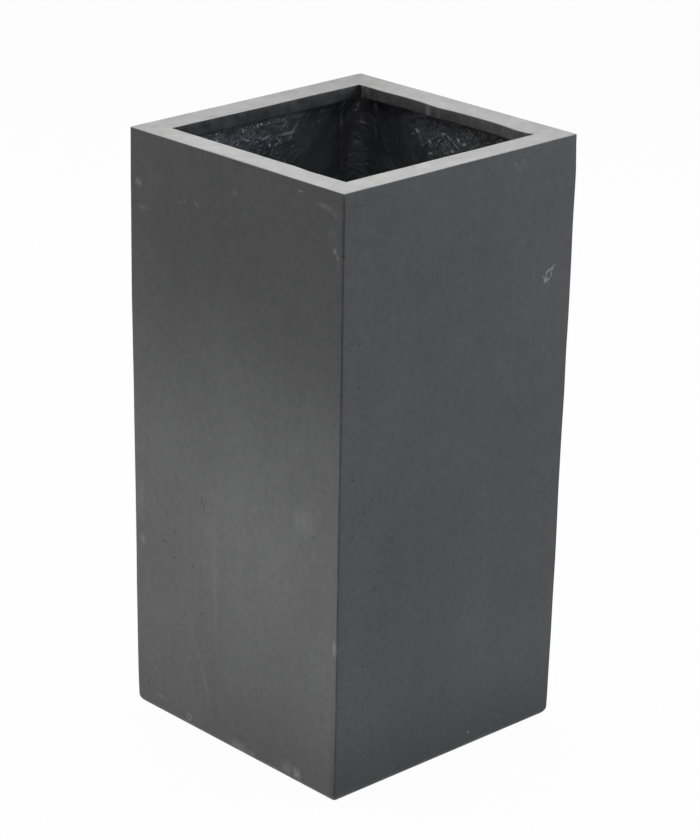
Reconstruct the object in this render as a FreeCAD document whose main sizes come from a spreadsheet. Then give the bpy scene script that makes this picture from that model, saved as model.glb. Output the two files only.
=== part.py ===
import FreeCAD, Part
import math
import os
import Sketcher

# A tall square planter in hand-laid fibreglass: a thin moulded skin with a slight draft, a flat
# rim plate let into its mouth, a short lip hanging from the rim's inner edge, and chopped-strand
# mat laid over the whole inside. A rubber bung closes the drain hole from below.
#
# Millimetres, +Z up. The origin is the centre of the foot, on the surface that it stands on.
# -Y is the front. Pieces that go round the square are drawn on the front side and turned.

DRIVING_SIZES = [
    # the moulded skin
    ("height", "700", "foot to rim"),
    ("top_width", "348", "across the outside of the rim"),
    ("draft", "4.2", "how far each side comes in from the rim to the foot"),
    ("skin", "3.5", "thickness of the moulded skin"),
    ("foot_round", "10", "radius along the bottom edges"),
    ("arris_round", "1.8", "radius down the four upright edges"),
    ("rim_round", "1.2", "radius along the outer top edge"),
    ("foot_recess", "7", "how far the underside is raised inside the foot band"),
    ("foot_band", "30", "width of the band that the planter stands on"),
    ("recess_corner", "12", "corner radius of the raised underside"),
    ("drain_bore", "24", "diameter of the drain hole"),
    # rim and lip
    ("rim_width", "34", "outer face to the edge of the mouth"),
    ("rim_plate", "6", "thickness of the rim plate"),
    ("mouth_round", "0.8", "radius along the top edge of the mouth"),
    ("lip_depth", "17", "rim top to the lower edge of the lip"),
    ("lip_board", "5", "thickness of the lip"),
    ("lip_edge_round", "1.5", "radius along the lower edge of the lip"),
    ("bead_round", "4", "radius of the filler in the corners of the mouth"),
    # chopped-strand mat
    ("mat", "3", "thickness of the mat on the walls and the base"),
    ("strip", "1.5", "thickness of the lapped strips"),
    ("base_lap", "30", "how far the base strips reach up the wall and over the base"),
    ("base_cove", "18", "radius of the resin cove in the base strips"),
    ("corner_lap", "32", "how far the corner strips reach along each wall"),
    ("corner_cove", "22", "radius of the resin cove in the corner strips"),
    ("rim_lap", "17", "how far the rim strips reach down the wall and under the rim"),
    ("rim_cove", "9", "radius of the resin cove in the rim strips"),
    # drain bung
    ("bung_clearance", "0.3", "bung stem to drain hole"),
    ("bung_flange", "36", "diameter of the bung's flange"),
    ("flange_thickness", "2.5", "thickness of the bung's flange"),
    ("flange_edge", "0.8", "chamfer round the bung's flange"),
    ("stem_length", "15", "length of the bung's stem"),
    ("stem_taper", "1.2", "how much the stem's radius shrinks to its tip"),
    ("stem_lead", "1.5", "chamfer at the stem's tip"),
    ("grip_length", "20", "length of the bar that the bung is pulled by"),
    ("grip_width", "4", "width of that bar"),
    ("grip_depth", "3", "how far that bar stands out of the flange"),
]

QUARTER_TURN = 90.0
SIDES = ["front", "right", "back", "left"]
CORNERS = ["front_right", "back_right", "back_left", "front_left"]
SKETCH_ORIGIN = (-1, 1)
START, END, CENTRE = 1, 2, 3
FULL_TURN = 360.0
TOLERANCE = 0.001

# Heights, as expressions on the sheet.
SKIN_FLOOR = "(Sizes.foot_recess + Sizes.skin)"
MAT_FLOOR = f"({SKIN_FLOOR} + Sizes.mat)"
RIM_UNDERSIDE = "(Sizes.height - Sizes.rim_plate)"
LIP_END = "(Sizes.height - Sizes.lip_depth)"
BASE_STRIP_TOP = f"({MAT_FLOOR} + Sizes.base_lap)"
RIM_STRIP_END = f"({RIM_UNDERSIDE} - Sizes.rim_lap)"

# Half widths. The mouth's sides are upright, so its half width is the same at every height.
MOUTH = "(Sizes.top_width / 2 - Sizes.rim_width)"
MAT_FACE = "(Sizes.skin + Sizes.mat)"


def half_width(height, inset):
    """Half the width at a height, measured to a face that lies inset from the outer face."""
    return f"(Sizes.top_width / 2 - Sizes.draft * (1 - {height} / Sizes.height) - {inset})"


document = FreeCAD.newDocument("planter")
sizes = document.addObject("Spreadsheet::Sheet", "Sizes")
for row, (alias, number, meaning) in enumerate(DRIVING_SIZES, start=1):
    sizes.set(f"A{row}", meaning)
    sizes.set(f"B{row}", number)
    sizes.setAlias(f"B{row}", alias)
document.recompute()


def value(expression):
    """What an expression on the sheet comes to, in millimetres."""
    return float(sizes.evalExpression(expression))


def new_body(name, quarter_turns=0):
    """An empty body, turned about the upright axis to its side or corner."""
    body = document.addObject("PartDesign::Body", name)
    body.Label = name
    turn = FreeCAD.Rotation(FreeCAD.Vector(0, 0, 1), QUARTER_TURN * quarter_turns)
    body.Placement = FreeCAD.Placement(FreeCAD.Vector(0, 0, 0), turn)
    return body


def origin_plane(body, role):
    """One of a body's own origin planes."""
    return next(item for item in body.Origin.OriginFeatures if item.Role == role)


def new_sketch(body, name, role, offset="0"):
    """An empty sketch on an origin plane, moved along that plane's normal by offset."""
    sketch = body.newObject("Sketcher::SketchObject", name)
    sketch.AttachmentSupport = [(origin_plane(body, role), "")]
    sketch.MapMode = "FlatFace"
    sketch.setExpression("AttachmentOffset.Base.z", offset)
    return sketch


def drive(sketch, constraint, name, expression):
    """Add a dimension to a sketch and bind it to the sheet."""
    index = sketch.addConstraint(constraint)
    sketch.renameConstraint(index, name)
    sketch.setExpression(f"Constraints.{name}", expression)


def hollow_arc(first, last, radius):
    """The arc from first to last that curves into the material on the left of that way."""
    chord = last - first
    reach = math.sqrt(radius**2 - (chord.Length / 2) ** 2)
    to_the_right = FreeCAD.Vector(chord.y, -chord.x, 0).normalize()
    centre = (first + last) / 2 + to_the_right * reach
    angles = [math.atan2(point.y - centre.y, point.x - centre.x) for point in (last, first)]
    circle = Part.Circle(centre, FreeCAD.Vector(0, 0, 1), radius)
    return Part.ArcOfCircle(circle, *angles)


def draw_outline(sketch, points, coves=None):
    """Draw a closed outline, counter-clockwise through points, each a pair of expressions.

    coves gives the radius of each stretch that is a hollow arc, by the number of the point that
    it starts from. A sketch draws arcs counter-clockwise, so a hollow one has its ends swapped.
    """
    coves = coves or {}
    places = [FreeCAD.Vector(value(x), value(y), 0) for x, y in points]
    ends = []
    for number, place in enumerate(places):
        following = places[(number + 1) % len(places)]
        if number in coves:
            sketch.addGeometry(hollow_arc(place, following, value(coves[number])), False)
            ends.append((END, START))
        else:
            sketch.addGeometry(Part.LineSegment(place, following), False)
            ends.append((START, END))
    for number, (across, along) in enumerate(points):
        before = number - 1 if number else len(points) - 1
        start = ends[number][0]
        joint = Sketcher.Constraint("Coincident", before, ends[before][1], number, start)
        sketch.addConstraint(joint)
        corner = (*SKETCH_ORIGIN, number, start)
        place = places[number]
        drive(sketch, Sketcher.Constraint("DistanceX", *corner, place.x), f"x{number}", across)
        drive(sketch, Sketcher.Constraint("DistanceY", *corner, place.y), f"y{number}", along)
    for number, radius in coves.items():
        drive(sketch, Sketcher.Constraint("Radius", number, value(radius)), f"cove{number}", radius)


def draw_circle(sketch, diameter):
    """Draw a circle about the sketch's origin."""
    circle = Part.Circle(FreeCAD.Vector(0, 0, 0), FreeCAD.Vector(0, 0, 1), value(diameter) / 2)
    sketch.addGeometry(circle, False)
    sketch.addConstraint(Sketcher.Constraint("Coincident", 0, CENTRE, *SKETCH_ORIGIN))
    drive(sketch, Sketcher.Constraint("Diameter", 0, value(diameter)), "diameter", diameter)


def square(half):
    """The corners of a square about the origin, counter-clockwise."""
    return [(f"-{half}", f"-{half}"), (half, f"-{half}"), (half, half), (f"-{half}", half)]


def pad(body, name, sketch, length, both_ways=False):
    """Extrude a sketch along its normal, or half the length each way."""
    feature = body.newObject("PartDesign::Pad", name)
    feature.Profile = sketch
    feature.Midplane = both_ways
    feature.setExpression("Length", length)
    document.recompute()
    return feature


def pocket(body, name, sketch, depth, both_ways=False):
    """Cut a sketch upwards, or half the depth each way, and make sure that it cuts something."""
    before = body.Tip.Shape.Volume
    feature = body.newObject("PartDesign::Pocket", name)
    feature.Profile = sketch
    feature.Midplane = both_ways
    feature.Reversed = not both_ways
    feature.setExpression("Length", depth)
    document.recompute()
    if not feature.Shape.Volume < before:
        raise ValueError(f"{body.Label}: {name} cuts nothing")
    return feature


def tapered_block(body, name, low, high, inset, kind="Additive"):
    """A block between two heights whose sides lie inset from the outer faces."""
    wedge = body.newObject(f"PartDesign::{kind}Wedge", name)
    wedge.AttachmentSupport = [(origin_plane(body, "XZ_Plane"), "")]
    wedge.MapMode = "FlatFace"
    low_half = half_width(low, inset)
    high_half = half_width(high, inset)
    wedge.setExpression("Ymin", low)
    wedge.setExpression("Ymax", high)
    for axis in ("X", "Z"):
        wedge.setExpression(f"{axis}min", f"-{low_half}")
        wedge.setExpression(f"{axis}max", low_half)
        wedge.setExpression(f"{axis}2min", f"-{high_half}")
        wedge.setExpression(f"{axis}2max", high_half)
    document.recompute()
    return wedge


def round_edges(body, name, radius, chosen):
    """Fillet the edges of the body's last feature for which chosen(edge) holds."""
    base = body.Tip
    edges = [f"Edge{number}" for number, edge in enumerate(base.Shape.Edges, start=1) if chosen(edge)]
    if not edges:
        raise ValueError(f"{body.Label}: {name} finds no edge")
    fillet = body.newObject("PartDesign::Fillet", name)
    fillet.Base = (base, edges)
    fillet.setExpression("Radius", radius)
    document.recompute()
    return fillet


def lies_at(edge, height):
    """Whether an edge lies level at a height."""
    box = edge.BoundBox
    return abs(box.ZMin - height) < TOLERANCE and abs(box.ZMax - height) < TOLERANCE


def mitred_piece(name, quarter_turns, section, coves=None):
    """One side's piece: a section, drawn looking along +X on the front side, cut to 45 degrees.

    The section's points are pairs of expressions: how far in front of the middle, and the height.
    """
    body = new_body(name, quarter_turns)
    sketch = new_sketch(body, f"{name}_section", "YZ_Plane")
    draw_outline(sketch, [(f"-{out}", height) for out, height in section], coves)
    pad(body, f"{name}_length", sketch, "Sizes.top_width", both_ways=True)
    reach = "Sizes.top_width"
    offcut = new_sketch(body, f"{name}_offcut", "XY_Plane")
    draw_outline(
        offcut,
        [
            ("0", "0"),
            (reach, f"-{reach}"),
            (reach, reach),
            (f"-{reach}", reach),
            (f"-{reach}", f"-{reach}"),
        ],
    )
    pocket(body, f"{name}_mitres", offcut, "2 * Sizes.height", both_ways=True)
    return body


def add_outer_shell():
    """The moulded skin: four drafted walls and the raised underside, with its drain hole."""
    body = new_body("outer_shell")
    tapered_block(body, "moulding", "0", "Sizes.height", "0")
    round_edges(body, "foot_rounding", "Sizes.foot_round", lambda edge: lies_at(edge, 0))
    rim_height = value("Sizes.height")
    recess_half = value(half_width("0", "Sizes.foot_band"))

    def is_arris(edge):
        middle = edge.valueAt((edge.FirstParameter + edge.LastParameter) / 2)
        on_diagonal = abs(abs(middle.x) - abs(middle.y)) < TOLERANCE
        return on_diagonal and edge.BoundBox.ZLength > TOLERANCE

    def is_recess_corner(edge):
        box = edge.BoundBox
        upright = box.XLength < TOLERANCE and box.YLength < TOLERANCE
        return upright and abs(abs(box.XMin) - recess_half) < TOLERANCE

    round_edges(body, "arris_rounding", "Sizes.arris_round", is_arris)
    round_edges(body, "rim_rounding", "Sizes.rim_round", lambda edge: lies_at(edge, rim_height))
    tapered_block(body, "inside", SKIN_FLOOR, "Sizes.height", "Sizes.skin", "Subtractive")
    recess = new_sketch(body, "recess_outline", "XY_Plane")
    draw_outline(recess, square(half_width("0", "Sizes.foot_band")))
    pocket(body, "recess", recess, "Sizes.foot_recess")
    round_edges(body, "recess_rounding", "Sizes.recess_corner", is_recess_corner)
    drain = new_sketch(body, "drain_outline", "XY_Plane")
    draw_circle(drain, "Sizes.drain_bore")
    pocket(body, "drain_hole", drain, SKIN_FLOOR)
    return body


def add_rim_flange():
    """The flat plate let into the top of the walls, with the mouth cut through it."""
    body = new_body("rim_flange")
    tapered_block(body, "plate", RIM_UNDERSIDE, "Sizes.height", "Sizes.skin")
    mouth = new_sketch(body, "mouth_outline", "XY_Plane")
    draw_outline(mouth, square(MOUTH))
    pocket(body, "mouth", mouth, "Sizes.height")
    rim_height = value("Sizes.height")
    mouth_half = value(MOUTH)

    def is_mouth_edge(edge):
        box = edge.BoundBox
        return lies_at(edge, rim_height) and max(box.XMax, box.YMax) < mouth_half + TOLERANCE

    round_edges(body, "mouth_rounding", "Sizes.mouth_round", is_mouth_edge)
    return body


def add_lip_strip(side, quarter_turns):
    """One side of the lip that hangs from the rim plate at the edge of the mouth."""
    back = f"({MOUTH} + Sizes.lip_board)"
    name = f"lip_strip_{side}"
    body = mitred_piece(
        name,
        quarter_turns,
        [(back, LIP_END), (MOUTH, LIP_END), (MOUTH, RIM_UNDERSIDE), (back, RIM_UNDERSIDE)],
    )
    lip_end = value(LIP_END)

    def is_long_lower_edge(edge):
        return lies_at(edge, lip_end) and edge.BoundBox.YLength < TOLERANCE

    round_edges(body, f"{name}_edge", "Sizes.lip_edge_round", is_long_lower_edge)
    return body


def add_lip_bead(corner, quarter_turns):
    """The hollow bead of filler in a corner of the mouth."""
    name = f"lip_corner_bead_{corner}"
    body = new_body(name, quarter_turns)
    near = f"({MOUTH} - Sizes.bead_round)"
    sketch = new_sketch(body, f"{name}_section", "XY_Plane", f"{LIP_END} + Sizes.lip_edge_round")
    draw_outline(
        sketch,
        [(MOUTH, f"-{MOUTH}"), (MOUTH, f"-{near}"), (near, f"-{MOUTH}")],
        {1: "Sizes.bead_round"},
    )
    rounded = "Sizes.lip_depth - Sizes.lip_edge_round - Sizes.mouth_round"
    pad(body, f"{name}_height", sketch, rounded)
    return body


def add_wall_laminate(side, quarter_turns):
    """The sheet of chopped-strand mat on the inside of one wall."""
    section = [
        (half_width(MAT_FLOOR, "Sizes.skin"), MAT_FLOOR),
        (half_width(MAT_FLOOR, MAT_FACE), MAT_FLOOR),
        (half_width(RIM_UNDERSIDE, MAT_FACE), RIM_UNDERSIDE),
        (half_width(RIM_UNDERSIDE, "Sizes.skin"), RIM_UNDERSIDE),
    ]
    return mitred_piece(f"wall_laminate_{side}", quarter_turns, section)


def add_base_laminate():
    """The sheet of mat on the base, cut out round the drain hole."""
    body = new_body("base_laminate")
    tapered_block(body, "sheet", SKIN_FLOOR, MAT_FLOOR, "Sizes.skin")
    drain = new_sketch(body, "cutout_outline", "XY_Plane")
    draw_circle(drain, "Sizes.drain_bore")
    pocket(body, "cutout", drain, MAT_FLOOR)
    return body


def add_base_strip(side, quarter_turns):
    """The strip of mat lapped from the base up one wall, with a resin cove in the angle."""
    wall_low = half_width(MAT_FLOOR, MAT_FACE)
    wall_high = half_width(BASE_STRIP_TOP, MAT_FACE)
    cove_top = f"({MAT_FLOOR} + Sizes.strip + Sizes.base_cove)"
    face_at_cove = half_width(cove_top, f"({MAT_FACE} + Sizes.strip)")
    over_base = f"({MAT_FLOOR} + Sizes.strip)"
    section = [
        (wall_low, MAT_FLOOR),
        (f"({wall_low} - Sizes.base_lap)", MAT_FLOOR),
        (f"({wall_low} - Sizes.base_lap)", over_base),
        (f"({face_at_cove} - Sizes.base_cove)", over_base),
        (face_at_cove, cove_top),
        (f"({wall_high} - Sizes.strip)", BASE_STRIP_TOP),
        (wall_high, BASE_STRIP_TOP),
    ]
    return mitred_piece(f"base_strip_{side}", quarter_turns, section, {3: "Sizes.base_cove"})


def add_rim_strip(side, quarter_turns):
    """The strip of mat lapped from one wall to the underside of the rim plate, which it carries."""
    wall_low = half_width(RIM_STRIP_END, MAT_FACE)
    wall_high = half_width(RIM_UNDERSIDE, MAT_FACE)
    cove_low = f"({RIM_UNDERSIDE} - Sizes.strip - Sizes.rim_cove)"
    face_at_cove = half_width(cove_low, f"({MAT_FACE} + Sizes.strip)")
    under_rim = f"({RIM_UNDERSIDE} - Sizes.strip)"
    section = [
        (wall_low, RIM_STRIP_END),
        (f"({wall_low} - Sizes.strip)", RIM_STRIP_END),
        (face_at_cove, cove_low),
        (f"({face_at_cove} - Sizes.rim_cove)", under_rim),
        (f"({wall_high} - Sizes.rim_lap)", under_rim),
        (f"({wall_high} - Sizes.rim_lap)", RIM_UNDERSIDE),
        (wall_high, RIM_UNDERSIDE),
    ]
    return mitred_piece(f"rim_strip_{side}", quarter_turns, section, {2: "Sizes.rim_cove"})


def add_corner_strip(corner, quarter_turns):
    """The strip of mat down an inside corner, leaning out with the walls as it rises."""
    name = f"corner_strip_{corner}"
    body = new_body(name, quarter_turns)
    wall = half_width(BASE_STRIP_TOP, MAT_FACE)
    face = f"({wall} - Sizes.strip)"
    cove_end = f"({face} - Sizes.corner_cove)"
    lap_end = f"({wall} - Sizes.corner_lap)"
    sketch = new_sketch(body, f"{name}_section", "XY_Plane", BASE_STRIP_TOP)
    draw_outline(
        sketch,
        [
            (wall, f"-{wall}"),
            (wall, f"-{lap_end}"),
            (face, f"-{lap_end}"),
            (face, f"-{cove_end}"),
            (cove_end, f"-{face}"),
            (lap_end, f"-{face}"),
            (lap_end, f"-{wall}"),
        ],
        {3: "Sizes.corner_cove"},
    )
    strip = pad(body, f"{name}_rise", sketch, f"{RIM_STRIP_END} - {BASE_STRIP_TOP}")
    strip.UseCustomVector = True
    strip.AlongSketchNormal = True
    strip.setExpression("Direction.x", "Sizes.draft / Sizes.height")
    strip.setExpression("Direction.y", "-Sizes.draft / Sizes.height")
    strip.setExpression("Direction.z", "1")
    document.recompute()
    return body


def add_drain_plug():
    """The rubber bung: a flange against the underside, a tapered stem, and a bar to pull it by."""
    body = new_body("drain_plug")
    seat = "Sizes.foot_recess"
    flange = "(Sizes.bung_flange / 2)"
    stem = "(Sizes.drain_bore / 2 - Sizes.bung_clearance)"
    under = f"({seat} - Sizes.flange_thickness)"
    tip = f"({seat} + Sizes.stem_length)"
    tip_radius = f"({stem} - Sizes.stem_taper)"
    profile = new_sketch(body, "plug_profile", "XZ_Plane")
    draw_outline(
        profile,
        [
            ("0", under),
            (f"({flange} - Sizes.flange_edge)", under),
            (flange, f"({under} + Sizes.flange_edge)"),
            (flange, seat),
            (stem, seat),
            (tip_radius, f"({tip} - Sizes.stem_lead)"),
            (f"({tip_radius} - Sizes.stem_lead)", tip),
            ("0", tip),
        ],
    )
    turned = body.newObject("PartDesign::Revolution", "plug_turned")
    turned.Profile = profile
    turned.ReferenceAxis = (profile, ["V_Axis"])
    turned.Angle = FULL_TURN
    document.recompute()
    bar = new_sketch(body, "grip_outline", "XY_Plane", f"{under} - Sizes.grip_depth")
    half_length = "(Sizes.grip_length / 2)"
    half_bar = "(Sizes.grip_width / 2)"
    draw_outline(
        bar,
        [
            (f"-{half_length}", f"-{half_bar}"),
            (half_length, f"-{half_bar}"),
            (half_length, half_bar),
            (f"-{half_length}", half_bar),
        ],
    )
    pad(body, "grip_bar", bar, "Sizes.grip_depth")
    return body


pieces = [add_outer_shell(), add_rim_flange(), add_base_laminate(), add_drain_plug()]
for quarter_turns, side in enumerate(SIDES):
    pieces.append(add_lip_strip(side, quarter_turns))
    pieces.append(add_wall_laminate(side, quarter_turns))
    pieces.append(add_base_strip(side, quarter_turns))
    pieces.append(add_rim_strip(side, quarter_turns))
for quarter_turns, corner in enumerate(CORNERS):
    pieces.append(add_lip_bead(corner, quarter_turns))
    pieces.append(add_corner_strip(corner, quarter_turns))
document.recompute()

for item in document.Objects:
    if "Invalid" in item.State or "Error" in item.State:
        raise ValueError(f"{item.Label} failed: {item.State}")
for piece in pieces:
    if piece.Shape.isNull() or not piece.Shape.isValid():
        raise ValueError(f"{piece.Label} has no valid solid")

os.makedirs("parts", exist_ok=True)
for piece in pieces:
    piece.Shape.exportStep(f"parts/{piece.Label}.step")
    print(f"{piece.Label}: {piece.Shape.Volume / 1000:.1f} cm3")
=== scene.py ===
import itertools
import math

import bpy
import numpy as np
from mathutils import Matrix, Vector


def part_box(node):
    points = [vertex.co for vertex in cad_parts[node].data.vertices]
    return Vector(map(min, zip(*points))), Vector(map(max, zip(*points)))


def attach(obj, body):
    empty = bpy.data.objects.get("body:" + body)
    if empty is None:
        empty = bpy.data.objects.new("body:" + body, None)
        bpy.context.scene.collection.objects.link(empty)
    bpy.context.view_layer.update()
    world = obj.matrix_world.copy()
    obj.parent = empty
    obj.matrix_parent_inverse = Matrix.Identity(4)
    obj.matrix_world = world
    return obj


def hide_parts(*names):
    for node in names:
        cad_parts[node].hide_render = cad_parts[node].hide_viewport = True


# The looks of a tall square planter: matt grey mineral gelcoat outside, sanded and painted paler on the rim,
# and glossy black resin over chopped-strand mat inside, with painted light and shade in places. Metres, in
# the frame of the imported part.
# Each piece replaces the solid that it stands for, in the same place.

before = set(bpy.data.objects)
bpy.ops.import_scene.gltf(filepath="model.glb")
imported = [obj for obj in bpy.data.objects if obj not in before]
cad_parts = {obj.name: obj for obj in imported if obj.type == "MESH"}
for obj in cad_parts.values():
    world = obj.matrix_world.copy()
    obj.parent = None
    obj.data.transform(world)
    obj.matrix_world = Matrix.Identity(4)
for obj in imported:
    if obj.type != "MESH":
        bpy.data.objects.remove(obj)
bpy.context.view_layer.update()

MM = 0.001
SIDES = ["front", "right", "back", "left"]
CORNERS = ["front_right", "back_right", "back_left", "front_left"]

# ---- sizes, read from the solids where they show them ----
PLATE_LOW, PLATE_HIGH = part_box("rim_flange")
SHEET_LOW, SHEET_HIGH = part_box("base_laminate")
LIP_LOW, LIP_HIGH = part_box("lip_strip_right")
BEAD_LOW, BEAD_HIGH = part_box("lip_corner_bead_back_right")
BASE_STRIP_LOW, BASE_STRIP_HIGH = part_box("base_strip_right")
RIM_STRIP_LOW, RIM_STRIP_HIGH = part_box("rim_strip_right")
CORNER_STRIP_LOW, CORNER_STRIP_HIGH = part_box("corner_strip_back_right")
PLUG_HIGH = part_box("drain_plug")[1]
SKIN = 3.5 * MM
MAT = SHEET_HIGH.z - SHEET_LOW.z
STRIP = 1.5 * MM
HEIGHT = PLATE_HIGH.z
TOP_HALF = PLATE_HIGH.x + SKIN
DRAFT = (PLATE_HIGH.x - SHEET_HIGH.x) / (1 - SHEET_HIGH.z / HEIGHT)
FOOT_ROUND = 10 * MM
RIM_ROUND = 1.2 * MM
FOOT_BAND = 30 * MM
RECESS = 7 * MM
DRAIN_RADIUS = 12 * MM
MOUTH = LIP_LOW.x
LIP_BACK = LIP_HIGH.x
LIP_END = LIP_LOW.z
PLATE_UNDER = PLATE_LOW.z
BASE_LAP = BASE_STRIP_HIGH.z - BASE_STRIP_LOW.z
RIM_LAP = RIM_STRIP_HIGH.z - RIM_STRIP_LOW.z
BASE_COVE = 18 * MM
RIM_COVE = 9 * MM
CORNER_LAP = 32 * MM
CORNER_COVE = 22 * MM
BEAD_ROUND = BEAD_HIGH.x - BEAD_LOW.x
SHARP = [0.05 * MM] * 4  # the corner radii of a square ring that is let into another piece

# ---- how the surfaces wander: the size of the lumps, and how far they reach ----
WALL_WANDER = [(0.16, 0.35 * MM), (0.045, 0.10 * MM)]
RIM_WANDER = [(0.05, 0.12 * MM), (0.012, 0.03 * MM)]
MOUTH_WANDER = [(0.060, 0.35 * MM), (0.018, 0.15 * MM)]
MOUTH_FADE = 9 * MM  # how far from the mouth's edge its waves reach into the rim
# The rim isn't quite level or square: how far two of its corners are lifted, and how far each is
# pulled towards +x and -y, which is inwards for the back left one.
BACK_LEFT_LIFT = -3.5 * MM
FRONT_RIGHT_LIFT = 1.7 * MM
BACK_LEFT_PULL = 1.3 * MM
FRONT_RIGHT_PULL = -1.0 * MM
OUTER_RISE = 1.1 * MM  # how far the rim's outer edge stands above its inner edge
# Where the lifts and pulls set in. They are whole at the rim.
LIFT_FROM = 0.4 * HEIGHT
PULL_FROM = 0.7 * HEIGHT
CORNER_FROM = 0.93 * HEIGHT  # for the front right pull
FOOT_FADE = 60 * MM  # over this height the walls' lumps fade out towards the foot
# Side, place along it from its middle, half length, and how far it is sanded back (below 0: built up).
MOUTH_DIPS = [
    ("left", 0.088, 0.013, 1.1 * MM),
    ("left", 0.060, 0.014, -0.5 * MM),
    ("right", 0.098, 0.012, -0.9 * MM),
    ("right", 0.060, 0.020, 0.5 * MM),
    ("right", 0.010, 0.018, -2.2 * MM),
    ("right", -0.119, 0.024, -3.8 * MM),
]

# ---- chopped-strand mat ----
RASTER = 0.6 * MM
SEEN_DEPTH = 0.54  # above this height the mat is meshed finely enough to show its strands
FINE_STEP = 1.2 * MM
COARSE_STEP = 6 * MM
LUMPS = [(0.035, 0.50 * MM), (0.014, 0.85 * MM), (0.006, 0.30 * MM)]
# Strands to a square metre, and the least and greatest length, width and height of one.
STRAND_KINDS = [
    (12000, (15 * MM, 35 * MM), (0.9 * MM, 1.8 * MM), (0.15 * MM, 0.50 * MM)),
    (6000, (16 * MM, 45 * MM), (1.7 * MM, 2.8 * MM), (0.50 * MM, 1.20 * MM)),
]


# ---- repeatable noise ----
def hashed(cells, seed):
    """A repeatable number from 0 to 1 for each lattice cell."""
    mask = 0xFFFFFFFF
    primes = np.array([73856093, 19349663, 83492791])
    mixed = (cells * primes).sum(axis=-1) + seed * 7919
    mixed = (mixed ^ (mixed >> 13)) & mask
    mixed = (mixed * 1274126177) & mask
    mixed = mixed ^ (mixed >> 16)
    mixed = (mixed * 668265263) & mask
    return (mixed ^ (mixed >> 15)).astype(float) / mask


def noise(points, size, seed):
    """Smooth noise from -1 to 1 at each point, with lumps of about size."""
    scaled = np.asarray(points, float) / size
    cells = np.floor(scaled).astype(np.int64)
    part = scaled - cells
    part = part * part * (3 - 2 * part)
    total = np.zeros(scaled.shape[:-1])
    for corner in itertools.product((0, 1), repeat=3):
        offset = np.array(corner)
        weight = np.where(offset == 1, part, 1 - part).prod(axis=-1)
        total += weight * hashed(cells + offset, seed)
    return total * 2 - 1


def wander(points, layers, seed):
    """Several sizes of noise added up, each with its own reach."""
    return sum(reach * noise(points, size, seed + 7 * k) for k, (size, reach) in enumerate(layers))


def smooth_step(value, low, high):
    part = np.clip((value - low) / (high - low), 0, 1)
    return part * part * (3 - 2 * part)


# ---- meshes ----
def add_object(name, data):
    """A new object in the scene."""
    made = bpy.data.objects.new(name, data)
    bpy.context.scene.collection.objects.link(made)
    return made


def new_piece(name, points, faces, material, smooth_angle=35):
    """A mesh object with smooth shading that breaks at edges sharper than smooth_angle degrees."""
    mesh = bpy.data.meshes.new(name)
    mesh.from_pydata(points.tolist(), [], faces)
    mesh.update()
    if signed_volume(mesh) < 0:
        mesh.flip_normals()
    mesh.shade_smooth()
    mesh.set_sharp_from_angle(angle=math.radians(smooth_angle))
    mesh.materials.append(material)
    return add_object(name, mesh)


def signed_volume(mesh):
    """Six times the volume that a closed mesh holds, below 0 if its faces point inwards."""
    mesh.calc_loop_triangles()
    points = np.empty(len(mesh.vertices) * 3)
    mesh.vertices.foreach_get("co", points)
    corners = np.empty(len(mesh.loop_triangles) * 3, np.int32)
    mesh.loop_triangles.foreach_get("vertices", corners)
    a, b, c = points.reshape(-1, 3)[corners.reshape(-1, 3)].transpose(1, 0, 2)
    return float(np.einsum("ij,ij->", a, np.cross(b, c)))


def loft(name, rings, material, closed=False, smooth_angle=35):
    """A closed piece through rings of as many points each. Its ends are capped, or meet if closed."""
    rings = np.asarray(rings, float)
    count, around, _ = rings.shape
    steps = np.arange(count if closed else count - 1)
    first = (steps * around)[:, None]
    second = (((steps + 1) % count) * around)[:, None]
    here = np.arange(around)[None, :]
    following = (here + 1) % around
    corners = [first + here, first + following, second + following, second + here]
    faces = np.stack(corners, axis=-1).reshape(-1, 4).tolist()
    if not closed:
        faces.append(list(range(around))[::-1])
        faces.append(list(range((count - 1) * around, count * around)))
    return new_piece(name, rings.reshape(-1, 3), faces, material, smooth_angle)


def points_at(x, y, z):
    """Points from their coordinates, each of them a number or an array."""
    return np.stack(np.broadcast_arrays(x, y, z), axis=-1)


def turn_quarter(points, turns):
    """Points turned about the upright axis by quarter turns, from the front side to another."""
    angle = math.radians(90 * turns)
    cosine, sine = round(math.cos(angle)), round(math.sin(angle))
    x, y, z = np.moveaxis(np.asarray(points, float), -1, 0)
    return points_at(x * cosine - y * sine, x * sine + y * cosine, z)


def arc(centre, radius, start, end, count):
    """Points (across, up) on an arc, its angles in degrees."""
    angles = np.radians(np.linspace(start, end, count))
    return [(centre[0] + radius * math.cos(a), centre[1] + radius * math.sin(a)) for a in angles]


def steps_between(first, last, step):
    """Evenly spaced numbers from first to last, about a step apart."""
    return np.linspace(first, last, max(2, round(abs(last - first) / step) + 1))


def wall_half(height, inset=0.0):
    """Half the width at a height, to a face that lies inset from the outer face."""
    return TOP_HALF - DRAFT * (1 - height / HEIGHT) - inset


def square_ring(half, height, radii, per_side, per_corner=5):
    """Points round a square, counter-clockwise from the front left, its corners rounded."""
    points = []
    for side in range(4):
        before, after = radii[side - 1], radii[side]
        along = np.linspace(-half + before, half - after, per_side)
        flat = [(x, -half) for x in along]
        bend = arc((half - after, -half + after), after, -90, 0, per_corner + 2)[1:-1]
        ring = np.array([(x, y, height) for x, y in flat + bend])
        points.append(turn_quarter(ring, side))
    return np.concatenate(points)


def circle_ring(radius, height, like):
    """Points on a circle, each in the direction of a point of another ring."""
    angles = np.arctan2(like[:, 1], like[:, 0])
    return points_at(radius * np.cos(angles), radius * np.sin(angles), height)


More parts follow.
